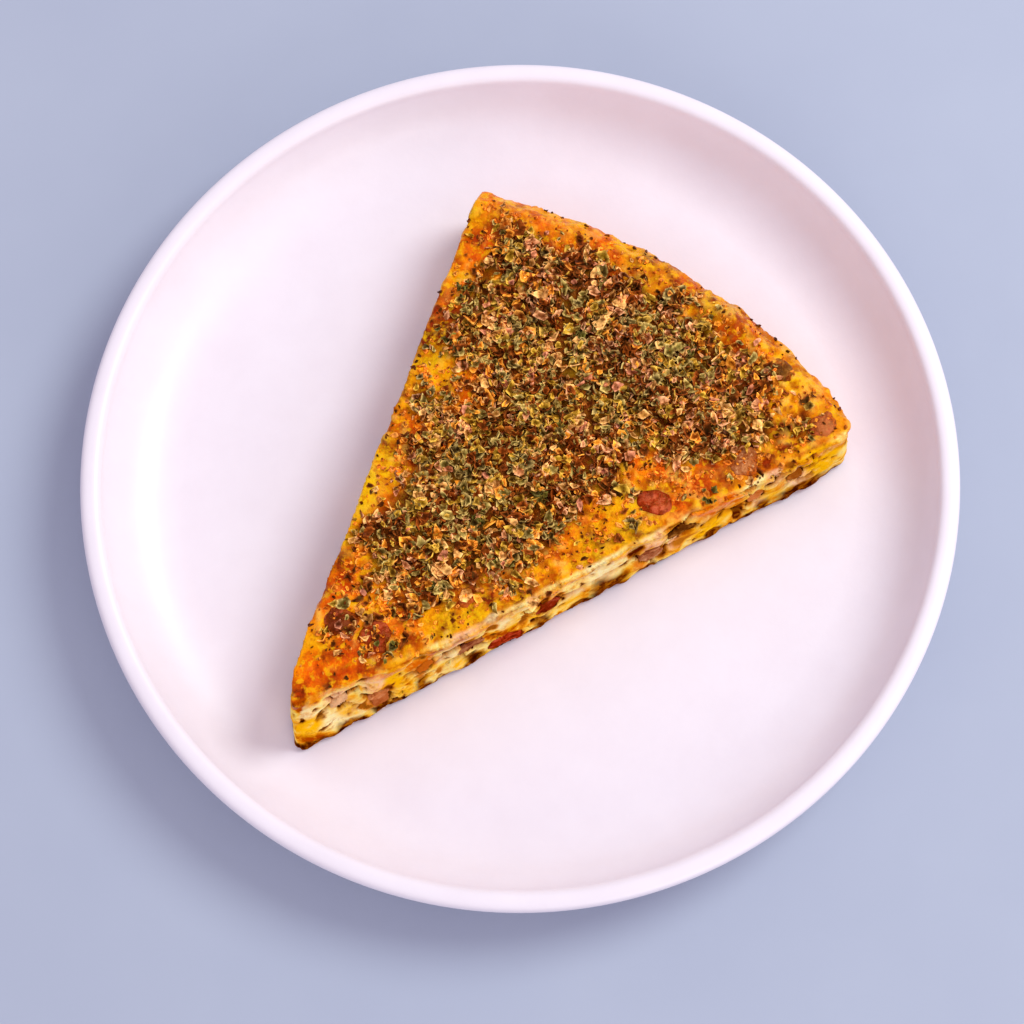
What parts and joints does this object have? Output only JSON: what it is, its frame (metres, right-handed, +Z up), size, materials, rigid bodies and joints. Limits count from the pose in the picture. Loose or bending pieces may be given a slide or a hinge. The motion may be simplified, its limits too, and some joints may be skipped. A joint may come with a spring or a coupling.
{
  "type": "tomato omelette slice on a side plate",
  "caption": "Wedge of thick baked tomato omelette with dried herbs on top and filling at its cuts, resting on a round glazed coupe side plate.",
  "frame": {"origin": "middle of the circle that the plate's foot ring stands on", "axes": "+Z up; seen from the picture's side, +X is to the right and +Y away from the viewer"},
  "size_m": [0.2, 0.2, 0.029],
  "materials": {
    "plate_glaze": "pale lavender-white satin glaze, very faintly mottled",
    "baked_egg": "baked egg: orange browned crust under dried herbs, cream and yellow crumb at the cuts",
    "tomato": "roasted tomato, dark red with a moist sheen",
    "ham": "cured ham, brownish pink and moist",
    "olive": "dark olive-brown vegetable, moist"
  },
  "bodies": {
    "root": {"plate": "plate_glaze", "omelette": "baked_egg", "tomato_top_1": "tomato", "tomato_top_2": "tomato", "tomato_top_3": "tomato", "tomato_top_4": "tomato", "tomato_top_5": "tomato", "tomato_top_6": "tomato", "ham_top_1": "ham", "ham_top_2": "ham", "ham_top_3": "ham", "ham_top_4": "ham", "ham_top_5": "ham", "olive_top_1": "olive", "ham_right_1": "ham", "ham_right_2": "ham", "ham_right_3": "ham", "ham_right_4": "ham", "ham_right_5": "ham", "tomato_right_1": "tomato", "tomato_right_2": "tomato", "tomato_right_3": "tomato", "olive_right_1": "olive", "olive_right_2": "olive", "ham_left_1": "ham", "ham_left_2": "ham", "ham_left_3": "ham", "tomato_left_1": "tomato", "tomato_left_2": "tomato", "tomato_left_3": "tomato", "olive_left_1": "olive"}
  },
  "joints": []
}
